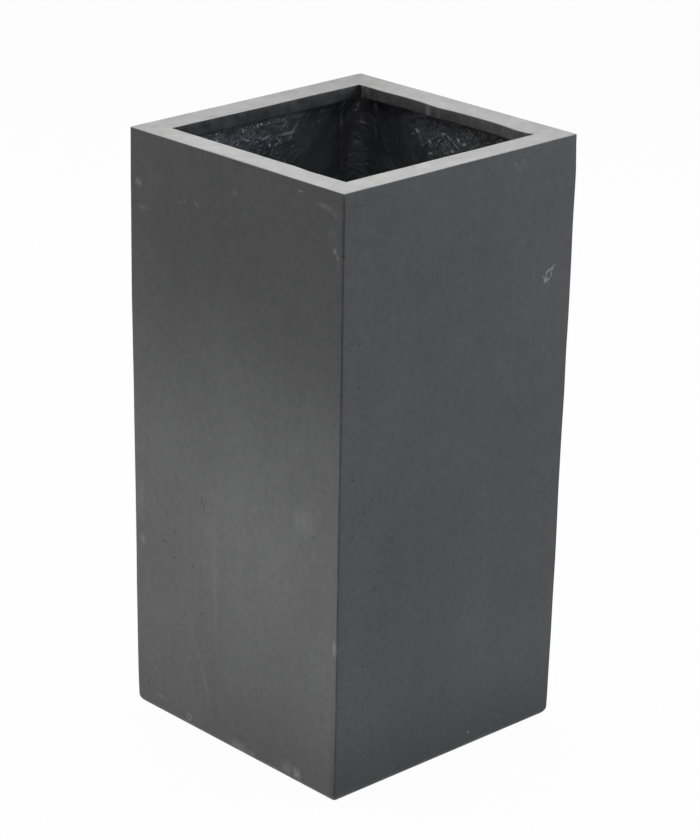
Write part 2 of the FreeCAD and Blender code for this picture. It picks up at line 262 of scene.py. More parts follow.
# ---- the gelcoat pieces ----
def mouth_shift(side, along):
    """How far the mouth's edge is sanded back from its line, at places along one side."""
    shift = wander(points_at(along, 0.0, 0.0), MOUTH_WANDER, 40 + SIDES.index(side))
    for name, middle, reach, amount in MOUTH_DIPS:
        if name == side:
            shift = shift + amount * np.exp(-(((along - middle) / reach) ** 2))
    return shift * smooth_step(MOUTH - np.abs(along), 0.0, 7 * MM)


def hand_finished(points):
    """Points of the moulding, rim and lip, moved as hand-laid and hand-sanded faces wander."""
    points = np.asarray(points, float)
    x, y, z = np.moveaxis(points, -1, 0)
    moved = points.copy()
    above_foot = smooth_step(z, 0.0, FOOT_FADE)
    for axis in (0, 1):
        moved[..., axis] += wander(points, WALL_WANDER, 11 + axis) * above_foot
    moved[..., 2] += wander(points, RIM_WANDER, 21) * smooth_step(z, PLATE_UNDER, HEIGHT)

    east, north = x / TOP_HALF, y / TOP_HALF
    at_back_left = (1 - east) * (1 + north) / 4
    at_front_right = (1 + east) * (1 - north) / 4
    lift = BACK_LEFT_LIFT * at_back_left + FRONT_RIGHT_LIFT * at_front_right
    moved[..., 2] += lift * smooth_step(z, LIFT_FROM, HEIGHT)

    reach = np.maximum(np.abs(x), np.abs(y))
    outer = smooth_step(reach, MOUTH + MOUTH_FADE, TOP_HALF)
    upper = smooth_step(z, PULL_FROM, HEIGHT)
    top = smooth_step(z, CORNER_FROM, HEIGHT)
    moved[..., 2] += OUTER_RISE * outer * upper
    pull = outer * (BACK_LEFT_PULL * at_back_left * upper + FRONT_RIGHT_PULL * at_front_right * top)
    moved[..., 0] += pull
    moved[..., 1] -= pull

    at_edge = 1 - smooth_step(np.abs(reach - MOUTH), 0.0, MOUTH_FADE)
    at_edge = at_edge * smooth_step(z, LIP_END - 40 * MM, LIP_END)
    for turns, side in enumerate(SIDES):
        turned = turn_quarter(points, -turns)
        mine = (-turned[..., 1] >= reach - 1e-9) & (at_edge > 0)
        shift = np.where(mine, mouth_shift(side, turned[..., 0]) * at_edge, 0.0)
        moved += turn_quarter(points_at(0.0, -shift, 0.0), turns)
    return moved


def arris_radii(height):
    """The radius of each upright edge at a height: hand-sanded, softer at the foot."""
    radii = []
    for corner in range(4):
        place = (0.0, corner * 1.7, height)
        radius = 1.8 * MM + 0.5 * MM * float(noise(place, 0.05, 31))
        radius += 2.2 * MM * math.exp(-height / (14 * MM))
        radii.append(radius)
    radii[3] += 1.3 * MM * math.exp(-(((height - 0.188) / (9 * MM)) ** 2))
    return radii


def skin_rings(per_side=64):
    """Rings over the whole moulded skin, from the drain hole out, up, over and down the inside."""
    foot_half = wall_half(0)
    band_in = foot_half - FOOT_BAND
    soft = [12 * MM] * 4

    def level(half, height, radii):
        return square_ring(half, height, radii, per_side)

    recess_edge = level(band_in - 2.5 * MM, RECESS, soft)
    hole = circle_ring(DRAIN_RADIUS, RECESS, recess_edge)
    rings = [hole + (recess_edge - hole) * part for part in (0, 0.02, 0.1, 0.25, 0.45, 0.65, 0.85, 1)]
    for across, up in arc((band_in - 2.5 * MM, RECESS - 2.5 * MM), 2.5 * MM, 90, 0, 5)[1:]:
        rings.append(level(across, up, soft))
    for across, up in arc((band_in + 1.5 * MM, 1.5 * MM), 1.5 * MM, 180, 270, 5):
        rings.append(level(across, up, soft))
    for part in (0.3, 0.7):
        rings.append(level(band_in + part * (FOOT_BAND - FOOT_ROUND), 0.0, [6 * MM] * 4))
    for across, up in arc((foot_half - FOOT_ROUND, FOOT_ROUND), FOOT_ROUND, -90, 0, 10):
        rings.append(level(across + DRAFT * up / HEIGHT, up, arris_radii(up)))
    for up in steps_between(FOOT_ROUND, HEIGHT - RIM_ROUND, 7.5 * MM)[1:]:
        rings.append(level(wall_half(up), up, arris_radii(up)))
    for across, up in arc((TOP_HALF - RIM_ROUND, HEIGHT - RIM_ROUND), RIM_ROUND, 0, 90, 5)[1:]:
        rings.append(level(across, up, arris_radii(up)))
    rings.append(level(TOP_HALF - SKIN, HEIGHT, SHARP))
    for up in steps_between(HEIGHT, SHEET_LOW.z, 60 * MM)[1:]:
        rings.append(level(wall_half(up, SKIN), up, SHARP))
    floor_edge = rings[-1]
    inner_hole = circle_ring(DRAIN_RADIUS, SHEET_LOW.z, recess_edge)
    rings.extend(floor_edge + (inner_hole - floor_edge) * part for part in (0.5, 1))
    return rings


def make_skin(material):
    """The moulded skin with its wandering walls, softened foot and raised underside."""
    return loft("moulded_skin", hand_finished(skin_rings()), material, closed=True)


def make_rim_plate(material, per_side=160):
    """The rim plate, flush with the top of the skin, with a hand-sanded mouth."""
    inner = [1.0 * MM] * 4
    round_off = 0.8 * MM
    edge = MOUTH + round_off
    rings = [square_ring(wall_half(PLATE_UNDER, SKIN), PLATE_UNDER, SHARP, per_side)]
    for half in np.linspace(TOP_HALF - SKIN, edge, 9):
        rings.append(square_ring(half, HEIGHT, SHARP if half > edge + MM else inner, per_side))
    for across, up in arc((edge, HEIGHT - round_off), round_off, 90, 180, 4)[1:]:
        rings.append(square_ring(across, up, inner, per_side))
    rings.append(square_ring(MOUTH, PLATE_UNDER, inner, per_side))
    return loft("rim_plate", hand_finished(rings), material, closed=True)


def lip_rise(side, part):
    """How far the lip's lower edge stands above its solid's, at -1 to 1 along a side."""
    if side != "right":
        return 0.5 * MM
    from_back_corner = (1 - part) * MOUTH
    return 0.4 * MM + 2.2 * MM * float(smooth_step(from_back_corner, 6 * MM, 22 * MM))


def make_lip(side, turns, material, steps=140):
    """One board of the lip, its lower edge rounded and slightly wavy."""
    soft = 1.6 * MM
    middle = (MOUTH + LIP_BACK) / 2
    rings = []
    for part in np.linspace(-1, 1, steps):
        place = (part * MOUTH, 0.0, turns)
        wave = float(wander(place, [(0.07, 0.5 * MM), (0.02, 0.15 * MM)], 51))
        low = LIP_END + lip_rise(side, part) + wave
        section = [(MOUTH, up) for up in np.linspace(PLATE_UNDER, low + soft, 5)]
        section += arc((MOUTH + soft, low + soft), soft, 180, 270, 5)[1:]
        section += [(middle, low)]
        section += arc((LIP_BACK - soft, low + soft), soft, 270, 360, 4)
        section += [(LIP_BACK, PLATE_UNDER)]
        rings.append([(part * out, -out, up) for out, up in section])
    rings = turn_quarter(rings, turns)
    return loft(f"lip_board_{side}", hand_finished(rings), material)


def make_bead(corner, turns, material, steps=16):
    """The filler wiped into a corner of the mouth, thin at the top and lumpy below."""
    low = LIP_END + 1.5 * MM
    behind = MOUTH + 0.3 * MM
    rings = []
    for height in np.linspace(low, HEIGHT - 1.2 * MM, steps):
        part = (height - low) / (HEIGHT - low)
        place = (0.0, turns * 3.1, height)
        radius = BEAD_ROUND * (0.75 - 0.5 * part + 0.2 * float(noise(place, 5 * MM, 61)))
        near = MOUTH - radius
        bend = arc((near, -near), radius, 0, -90, 7)
        section = [(behind, -behind), (behind, -near)] + bend + [(near, -behind)]
        rings.append([(x, y, height) for x, y in section])
    rings = turn_quarter(rings, turns)
    return loft(f"corner_bead_{corner}", hand_finished(rings), material)


# ---- the mat ----
def lay_strands(relief, size, count, lengths, widths, heights, random):
    """Strews chopped strands over a rectangle, each raising the raster where it lies."""
    for _ in range(count):
        middle = random.uniform((0, 0), size)
        angle = random.uniform(0, math.pi)
        length = random.uniform(*lengths)
        half_width = random.uniform(*widths) / 2
        top = random.uniform(*heights)
        bend = random.normal(0, 0.10) / length
        direction = np.array([math.cos(angle), math.sin(angle)])
        reach = np.abs(direction) * length / 2 + 3 * MM
        low = np.maximum(((middle - reach) / RASTER).astype(int), 0)
        high = np.minimum(((middle + reach) / RASTER).astype(int) + 1, relief.shape[::-1])
        if np.any(high <= low):
            continue
        x = (np.arange(low[0], high[0]) * RASTER - middle[0])[None, :]
        y = (np.arange(low[1], high[1]) * RASTER - middle[1])[:, None]
        along = x * direction[0] + y * direction[1]
        off = -x * direction[1] + y * direction[0] - bend * along**2
        inside = np.clip(1 - (off / half_width) ** 2, 0, 1) * (np.abs(along) < length / 2)
        patch = relief[low[1] : high[1], low[0] : high[0]]
        raised = top * np.sqrt(inside) + 0.3 * patch * (inside > 0)
        np.maximum(patch, raised, out=patch)


def strand_map(width, height, seed):
    """Heights of chopped-strand mat over a rectangle, on a raster."""
    random = np.random.default_rng(seed)
    relief = np.zeros((int(height / RASTER) + 2, int(width / RASTER) + 2))
    for density, lengths, widths, heights in STRAND_KINDS:
        count = int(width * height * density)
        lay_strands(relief, (width, height), count, lengths, widths, heights, random)
    return relief


def mirrored(place, count):
    """Places on a raster of count steps, running back and forth past its ends."""
    last = count - 1.001
    return last - np.abs((place / RASTER) % (2 * last) - last)


def sample(relief, across, up):
    """Heights between the points of the raster."""
    rows, columns = relief.shape
    x, y = mirrored(across, columns), mirrored(up, rows)
    i, j = x.astype(int), y.astype(int)
    u, v = x - i, y - j
    top = relief[j, i] * (1 - u) + relief[j, i + 1] * u
    bottom = relief[j + 1, i] * (1 - u) + relief[j + 1, i + 1] * u
    return top * (1 - v) + bottom * v


def mat_relief(relief, across, up, seed, resin=0.22 * MM):
    """Relief of the wetted mat: strands that stand out of pools and runs of resin."""
    place = points_at(across, up, 0.0)
    lumps = wander(place, LUMPS, seed)
    strands = sample(relief, across + 0.037 * seed, up + 0.021 * seed)
    pool = resin * (1 + 0.9 * noise(place, 0.03, seed + 3))
    flooded = np.maximum(strands, pool) + 0.15 * np.minimum(strands, pool)
    return flooded + lumps - resin


def wall_levels(low, high):
    """Heights for a wall's mesh from the top down, fine where the mouth shows it."""
    fine = steps_between(high, SEEN_DEPTH, FINE_STEP)
    return np.concatenate([fine, steps_between(SEEN_DEPTH, low, COARSE_STEP)[1:]])


def make_wall_mat(side, turns, relief, material):
    """The mat on one wall, with its strands and resin in relief on the inside."""
    levels = wall_levels(SHEET_HIGH.z, PLATE_UNDER)
    front = wall_half(levels, SKIN + MAT)
    back = wall_half(levels, SKIN)[[-1, 0]]
    rings = []
    for part in np.linspace(-1, 1, round(2 * TOP_HALF / FINE_STEP)):
        resin = (0.22 + 0.70 * smooth_step(abs(part), 0.35, 0.60)) * MM
        raised = mat_relief(relief, part * front + TOP_HALF, levels, 70 + turns, resin)
        face = points_at(part * front, raised - front, levels)
        behind = points_at(part * back, -back, levels[[-1, 0]])
        rings.append(np.concatenate([face, behind]))
    rings = hand_finished(turn_quarter(rings, turns))
    return loft(f"wall_mat_{side}", rings, material, smooth_angle=60)


def lap_section(lap, cove, count):
    """A lapped strip's exposed face in a right angle: down one wall, round, and along the other."""
    straight = max(2, count // 4)
    first = [(STRIP, up) for up in np.linspace(lap, STRIP + cove, straight)]
    bend = arc((STRIP + cove, STRIP + cove), cove, 180, 270, count - 2 * straight + 2)[1:-1]
    second = [(out, STRIP) for out in np.linspace(STRIP + cove, lap, straight)]
    return np.array(first + bend + second)


def lap_face(section, along, lap, relief, seed):
    """The section with its strands in relief, feathered out towards both of its edges."""
    tangent = np.gradient(section, axis=0)
    normal = np.stack([-tangent[:, 1], tangent[:, 0]], axis=-1)
    normal /= np.linalg.norm(normal, axis=1, keepdims=True)
    part = np.linspace(0, 1, len(section))
    fade = smooth_step(part, 0, 0.12) * smooth_step(1 - part, 0, 0.12)
    across = 2 * lap * part
    raised = mat_relief(relief, across, np.full(len(section), along), seed) * fade
    raised -= (1 - fade) * STRIP * 0.6
    exposed = section + normal * raised[:, None]
    return np.concatenate([exposed, [[lap, 0.0], [0.0, 0.0], [0.0, lap]]])


def make_side_lap(name, turns, place, lap, cove, upwards, relief, seed, material):
    """A lapped strip along one side, between the wall and the base or the rim plate."""
    section = lap_section(lap, cove, 21)
    rings = []
    for part in np.linspace(-1, 1, 200):
        points = lap_face(section, (part + 1) * TOP_HALF, lap, relief, seed)
        height = place + upwards * points[:, 1]
        out = wall_half(height, SKIN + MAT) - points[:, 0]
        rings.append(points_at(part * out, -out, height))
    rings = hand_finished(turn_quarter(rings, turns))
    return loft(name, rings, material, smooth_angle=60)


def make_corner_mat(corner, turns, relief, seed, material):
    """The strip of mat down an inside corner, over a cove of resin."""
    section = lap_section(CORNER_LAP, CORNER_COVE, 37)
    rings = []
    for height in wall_levels(CORNER_STRIP_LOW.z, CORNER_STRIP_HIGH.z)[::-1]:
        points = lap_face(section, height, CORNER_LAP, relief, seed)
        out = wall_half(height, SKIN + MAT) - points
        rings.append([(x, -y, height) for x, y in out])
    rings = hand_finished(turn_quarter(rings, turns))
    return loft(f"corner_mat_{corner}", rings, material, smooth_angle=60)


def make_base_mat(relief, material, per_side=60):
    """The sheet of mat on the base, cut out round the drain hole."""
    edge_high = square_ring(wall_half(SHEET_HIGH.z, SKIN), SHEET_HIGH.z, SHARP, per_side)
    edge_low = square_ring(wall_half(SHEET_LOW.z, SKIN), SHEET_LOW.z, SHARP, per_side)
    hole_high = circle_ring(DRAIN_RADIUS + 0.8 * MM, SHEET_HIGH.z, edge_high)
    hole_low = circle_ring(DRAIN_RADIUS, SHEET_LOW.z, edge_low)
    rings = [edge_low + (hole_low - edge_low) * part for part in (0, 0.5, 1)]
    for part in np.linspace(0, 1, 60):
        ring = hole_high + (edge_high - hole_high) * part
        raised = mat_relief(relief, ring[:, 0] + TOP_HALF, ring[:, 1] + TOP_HALF, 95)
        ring[:, 2] += raised * float(smooth_step(part, 0.0, 0.03) * (1 - smooth_step(part, 0.9, 1.0)))
        rings.append(ring)
    return loft("base_mat", rings, material, closed=True, smooth_angle=60)


# ---- the bung ----
def make_grip(under, material):
    """The bar under the bung, rounded at its ends and along its edge."""
    half_length, half_width, depth = 10 * MM, 2 * MM, 3 * MM
    levels = [(0.0, 1.0), (0.0, -2.0), (0.3, -2.7), (0.8, -depth / MM)]
    rings = []
    for inset, up in levels:
        radius = half_width - inset * MM
        right = arc((half_length - half_width, 0), radius, -90, 90, 9)
        left = arc((half_width - half_length, 0), radius, 90, 270, 9)
        rings.append([(x, y, under + up * MM) for x, y in right + left])
    return loft("grip_bar", rings, material)


def make_bung(material, around=72):
    """The rubber bung: a soft flange with a shallow groove, a tapered stem and a bar to pull it by."""
    flange = PLUG_HIGH.x
    seat = RECESS
    under = seat - 2.5 * MM
    stem = DRAIN_RADIUS - 0.3 * MM
    tip = PLUG_HIGH.z
    groove = [(12.2 * MM, under), (12.9 * MM, under + 0.3 * MM), (13.6 * MM, under)]
    profile = [(0.5 * MM, under)] + groove
    profile += arc((flange - 0.9 * MM, under + 0.9 * MM), 0.9 * MM, -90, 0, 5)
    profile += [(flange, seat - 0.3 * MM), (flange - 0.3 * MM, seat), (stem + 0.5 * MM, seat)]
    profile += [(stem, seat + 0.3 * MM), (stem - 0.4 * MM, seat + 5 * MM)]
    profile += [(stem - 0.9 * MM, seat + 11 * MM)]
    profile += arc((stem - 2.6 * MM, tip - 1.5 * MM), 1.5 * MM, 0, 90, 5)
    profile += [(4 * MM, tip), (3.5 * MM, tip - 0.5 * MM), (0.5 * MM, tip - 0.5 * MM)]
    angles = np.linspace(0, 2 * math.pi, around, endpoint=False)
    rings = [points_at(radius * np.cos(angles), radius * np.sin(angles), up) for radius, up in profile]
    plug = loft("rubber_bung", rings, material)
    bar = make_grip(under, material)
    union = plug.modifiers.new("bar", "BOOLEAN")
    union.operation = "UNION"
    union.solver = "EXACT"
    union.object = bar
    bpy.context.view_layer.update()
    depsgraph = bpy.context.evaluated_depsgraph_get()
    joined = bpy.data.meshes.new_from_object(plug.evaluated_get(depsgraph))
    plug.modifiers.clear()
    plug.data = joined
    bpy.data.objects.remove(bar)
    return plug


# ---- materials ----
def feed(tree, socket, value):
    """Sets a node's input to a number or a colour, or links it from another node's output."""
    if isinstance(value, bpy.types.NodeSocket):
        tree.links.new(value, socket)
    else:
        socket.default_value = value


def add_node(tree, kind, inputs=None, **settings):
    """A shader node with its settings and inputs."""
    made = tree.nodes.new("ShaderNode" + kind)
    for key, value in settings.items():
        setattr(made, key, value)
    for key, value in (inputs or {}).items():
        feed(tree, made.inputs[key], value)
    return made


class Look:
    """A material, with short calls for the shader nodes used here."""

    def __init__(self, name):
        self.material = bpy.data.materials.new(name)
        self.material.use_nodes = True
        self.tree = self.material.node_tree
        self.shader = self.tree.nodes["Principled BSDF"]
        self.place = self.node("TexCoord").outputs["Object"]

    def node(self, kind, inputs=None, **settings):
        return add_node(self.tree, kind, inputs, **settings)

    def math(self, operation, *values):
        return self.node("Math", dict(enumerate(values)), operation=operation).outputs[0]

    def plus(self, first, second):
        return self.math("ADD", first, second)

    def times(self, first, second):
        return self.math("MULTIPLY", first, second)

    def greater(self, first, second):
        return self.math("MAXIMUM", first, second)

    def total(self, *terms, total=0.0):
        """The sum of values that each have a weight, on top of a first total."""
        for value, weight in terms:
            total = self.math("MULTIPLY_ADD", value, weight, total)
        return total

    def vector(self, operation, inputs):
        return self.node("VectorMath", inputs, operation=operation).outputs[0]

    def scaled(self, vector, share):
        """A colour or a place, times a number."""
        return self.vector("SCALE", {0: vector, "Scale": share})

    def noise(self, size, detail=3.0, roughness=0.55, place=None, stretch=None):
        """Noise from 0 to 1 with lumps of about size metres, longer along stretched axes."""
        place = place or self.place
        if stretch:
            inputs = {"Vector": place, "Scale": [1 / s for s in stretch]}
            place = self.node("Mapping", inputs).outputs[0]
        inputs = {"Vector": place, "Scale": 1 / size, "Detail": detail, "Roughness": roughness}
        return self.node("TexNoise", inputs).outputs[0]

    def ramp(self, value, low, high, to_low=0.0, to_high=1.0):
        """A value from low to high made into one from to_low to to_high, smoothly and with limits."""
        inputs = {"Value": value, "From Min": low, "From Max": high, "To Min": to_low, "To Max": to_high}
        return self.node("MapRange", inputs, interpolation_type="SMOOTHSTEP").outputs[0]

    def mix(self, share, first, second):
        """A colour between two, each given as three numbers or a link."""
        made = self.node("Mix", data_type="RGBA")
        for socket, value in zip((made.inputs[0], made.inputs[6], made.inputs[7]), (share, first, second)):
            feed(self.tree, socket, (*value, 1.0) if isinstance(value, tuple) else value)
        return made.outputs[2]

    def axes(self, vector):
        return self.node("SeparateXYZ", {0: vector}).outputs

    def wobbly(self, size, reach):
        """The place, moved about by noise, so that what is drawn with it has ragged edges."""
        colour = self.node("TexNoise", {"Vector": self.place, "Scale": 1 / size}).outputs[1]
        centred = self.vector("SUBTRACT", {0: colour, 1: (0.5, 0.5, 0.5)})
        return self.vector("ADD", {0: self.place, 1: self.scaled(centred, reach)})

    def after(self, place, value):
        """The same place, worked out after the value, as the renderer holds only so many values at once."""
        return self.vector("ADD", {0: place, 1: self.scaled((1e-9, 1e-9, 1e-9), value)})

    def spot(self, place, centre, radii, angle, axis, strength, loop, core):
        """A soft ellipsoid or loop: strength up to a share, core, of its radii, then falling to 0. In mm."""
        turn = [0.0, 0.0, 0.0]
        turn[axis] = math.radians(angle)
        inputs = {"Vector": place, "Rotation": turn}
        inputs["Location"] = [c * MM for c in centre]
        inputs["Scale"] = [r * MM for r in radii]
        local = self.node("Mapping", inputs, vector_type="TEXTURE").outputs[0]
        away = self.node("VectorMath", {0: local}, operation="LENGTH").outputs["Value"]
        if loop:
            away = self.times(self.math("ABSOLUTE", self.math("SUBTRACT", away, 0.72)), 3.6)
        return self.ramp(away, core, 1.0, strength, 0.0)

    def marked(self, value, place, marks, core=0.0):
        """The greater of a value and each of the marks."""
        for count, mark in enumerate(marks):
            if count % MARKS_AT_ONCE == 0:
                place = self.after(place, value)
            value = self.greater(value, self.spot(place, *mark, core))
        return value

    def bump(self, height, distance, below=None):
        """The shading normal of a relief, with heights from 0 to 1 over a distance in metres."""
        inputs = {"Strength": 1.0, "Distance": distance, "Height": height}
        if below:
            inputs["Normal"] = below
        return self.node("Bump", inputs).outputs[0]

    def set(self, **values):
        for key, value in values.items():
            feed(self.tree, self.shader.inputs[key.replace("_", " ")], value)
        return self.material


# ---- the marks that the photograph shows, in mm ----
MARKS_AT_ONCE = 15  # how many the renderer works out before it needs to let go of them
# On a wall: place along it, height, half width, half height, turn in degrees and strength.
# First the light scuffs, and those of which only the outline shows.
LEFT_SCUFFS = [
    (158, 638, 8, 9, 20, 0.55),
    (150, 611, 17, 4.5, -3, 0.3),
    (139, 567, 18, 4, 45, 0.08),
    (86, 631, 2, 1.6, 0, 0.55),
    (79, 634, 2.4, 2, 0, 0.8),
    (75, 631, 1.6, 1.8, 0, 0.5),
    (59, 635, 7, 2, 22, 0.55),
    (26, 645, 4, 4, 0, 0.16),
    (-3, 663, 6, 5, 0, 0.3),
    (-45, 668, 20, 5, -4, 0.07),
    (-108, 689, 9, 1.8, 0, 0.6),
    (-146, 681, 22, 5, 4, 0.36),
    (-161, 676, 8, 7, 40, 0.22),
    (-161, 637, 4.8, 5.5, 0, 0.85),
    (-165, 631, 3.2, 4.2, 0, 0.8),
    (-157, 655, 12, 16, 0, 0.12),
    (-166, 635, 8, 44, 0, 0.1),
    (31, 446, 1.7, 1.7, 0, 0.7),
    (-105, 322, 2.2, 21, 0, 0.26),
    (-116, 322, 24, 26, 0, 0.15),
    (-123, 324, 5, 16, 0, 0.14),
    (158, 212, 9, 9, 0, 0.25),
    (160, 262, 8, 40, 0, 0.1),
    (-167, 188, 5, 15, 0, 0.4),
    (48, 68, 4.5, 66, -19.5, 0.11),
    (30, 200, 6, 130, 0, 0.05),
    (128, 22, 9, 1.4, -8, 0.65),
    (100, 28, 5, 4, 0, 0.1),
    (-10, 8, 26, 13, 4, 0.42),
    (-32, 7, 12, 9, 0, 0.3),
    (-62, 4, 34, 7, 0, 0.35),
    (-92, 14, 14, 13, 0, 0.32),
    (-108, 13, 11, 12, 0, 0.6),
    (5, 90, 40, 26, 0, 0.05),
]
LEFT_LOOPS = [(77, 14, 5.5, 5, 0, 0.6)]
FRONT_SCUFFS = [
    (142, 556, 3, 8.5, 38, 0.9),
    (132, 544, 4.6, 5.6, 20, 1),
    (145, 558, 1.3, 6, 62, 0.8),
    (128, 548, 1, 5, -50, 0.55),
    (137, 538, 1, 4, -20, 0.35),
    (38, 20, 2, 2, 0, 1),
    (86, 25, 2.2, 4, 0, 0.35),
    (-30, 317, 1.8, 1.8, 0, 0.55),
    (90, 688, 2, 2, 0, 0.6),
    (77, 686, 1.9, 1.9, 0, 0.55),
    (84, 680, 14, 8, 0, 0.1),
    (36, 682, 1.9, 1.9, 0, 0.45),
    (-72, 688, 1.7, 1.7, 0, 0.45),
]
FRONT_LOOPS = [(136, 549, 5.5, 9.5, 30, 0.9)]
# Dark flecks and open pinholes.
LEFT_FLECKS = [
    (53, 291, 1.6, 8.1, 6, 0.72),
    (49, 285, 1.6, 8.1, 0, 0.78),
    (114, 257, 2, 2, 0, 0.91),
    (99, 240, 2.2, 2.2, 0, 0.91),
    (118, 222, 8.1, 2, 10, 0.59),
    (102, 207, 4.9, 2, 0, 0.78),
    (69, 206, 2.3, 2.3, 0, 1),
    (53, 154, 5.4, 1.9, 0, 0.72),
    (44, 181, 2, 2, 0, 0.91),
    (83, 143, 2, 2, 0, 0.78),
    (105, 174, 2, 2, 0, 0.78),
    (100, 52, 2, 2, 0, 0.78),
    (-133, 308, 2.2, 2.2, 0, 0.78),
    (-111, 292, 1.9, 1.9, 0, 0.78),
    (-54, 172, 1.9, 1.9, 0, 0.65),
    (150, 32, 1.9, 4.1, 0, 0.65),
]
FRONT_FLECKS = [
    (-148, 533, 2, 2, 0, 1),
    (-148, 484, 2, 2, 0, 1),
    (-152, 381, 2.2, 2.2, 0, 1),
    (-135, 338, 2, 2, 0, 1),
    (-151, 315, 2, 2, 0, 1),
    (-92, 298, 2.7, 2.2, 0, 1),
    (-96, 294, 1.9, 1.9, 0, 0.78),
    (-32, 267, 2.2, 2.2, 0, 1),
    (-107, 262, 1.9, 1.9, 0, 0.91),
    (-117, 244, 6.8, 3, -40, 0.59),
    (-100, 211, 2.2, 2.2, 0, 1),
    (-132, 157, 2.7, 2.4, 0, 1),
    (-158, 686, 3.2, 2.2, 0, 0.72),
    (-148, 684, 2.7, 2.4, 0, 0.72),
]
# Painted glints on the mat: pale spots standing in for beads and runs of resin catching the light.
BACK_PAINTED_GLINTS = [
    (27, 642, 2.6, 3, 0, 1),
    (41, 645, 10, 1.6, 50, 0.5),
    (20, 652, 11, 1.6, -15, 0.35),
    (-10, 655, 10, 1.6, 25, 0.35),
    (10, 636, 8, 1.5, 70, 0.3),
    (62, 634, 3, 1.8, 0, 0.35),
]
RIGHT_PAINTED_GLINTS = [
    (71, 655, 4.6, 2.4, 35, 0.9),
    (77, 650, 3, 1.8, 20, 0.5),
    (49, 646, 3.6, 2.6, 30, 1),
    (28, 660, 3.6, 2.2, 0, 0.85),
    (34, 651, 5.5, 1.6, -40, 0.5),
    (4, 658, 4.8, 1.9, 50, 1),
    (-6, 655, 3.8, 2.2, -30, 0.8),
    (48, 633, 4.2, 2.2, -15, 1),
    (62, 640, 2.8, 1.7, 0, 0.45),
    (14, 643, 2.6, 1.7, 0, 0.4),
]
# A painted glint that leans out from the back wall: centre, radii, turn, its axis, strength, and not a loop.
LEANING_PAINTED_GLINT = ((53, 165, 652), (19, 12, 2), -32, 0, 0.42, False)
# On the rim, the lip and the edges: centre, radii and strength.
TOP_SCUFFS_AND_HIGHLIGHT = [
    ((-171, -170, 7), (4, 4, 4), 0.6),
    ((139, 127, 691), (12, 7, 12), 0.5),
    ((139, 119, 686), (12, 10, 5), 0.3),
    # A painted highlight: the pale line down the back right corner bead.
    ((139, 134, 690), (10, 4, 14), 1),
    ((140, 25, 690), (12, 8, 20), 0.6),
    ((140, 7, 690), (12, 3, 20), 0.45),
    ((140, -66, 690), (12, 32, 20), 0.22),
    ((140, -94, 690), (12, 4, 20), 0.36),
    ((140, -134, 694), (12, 18, 16), 0.45),
    ((139, -113, 691), (14, 22, 14), 0.34),
]
TOP_FLECKS = [
    ((-172, -173, 634), (2.4, 6, 2.4), 1),
    ((-172, -173, 482), (2, 6, 2), 0.9),
    ((-172, -173, 315), (2, 6, 2), 0.9),
    ((-172, -173, 281), (1.8, 6, 1.8), 0.8),
    ((145, -137, 700), (6, 1.3, 6), 0.7),
    ((140, 15, 690), (12, 5, 14), 0.3),
    ((-177, 10, 700), (11, 100, 6), 0.45),
    ((40, -178, 700), (125, 10, 6), 0.25),
    ((-60, 146, 700), (80, 2.8, 4), 0.45),
]


OUTER_FACE = -172  # about where the outer faces of the left and front walls are
INNER_FACE = 165  # and the inner faces of the right and back walls


def on_wall(axis, out, marks, loop=False, through=30):
    """Marks on a wall whose face is at a place along an axis, as ellipsoids that reach through it."""
    made = []
    for along, up, half_width, half_height, angle, strength in marks:
        if axis == 0:
            centre, radii = (out, along, up), (through, half_width, half_height)
        else:
            centre, radii = (along, out, up), (half_width, through, half_height)
        made.append((centre, radii, angle, axis, strength, loop))
    return made


def anywhere(marks):
    return [(centre, radii, 0, 0, strength, False) for centre, radii, strength in marks]


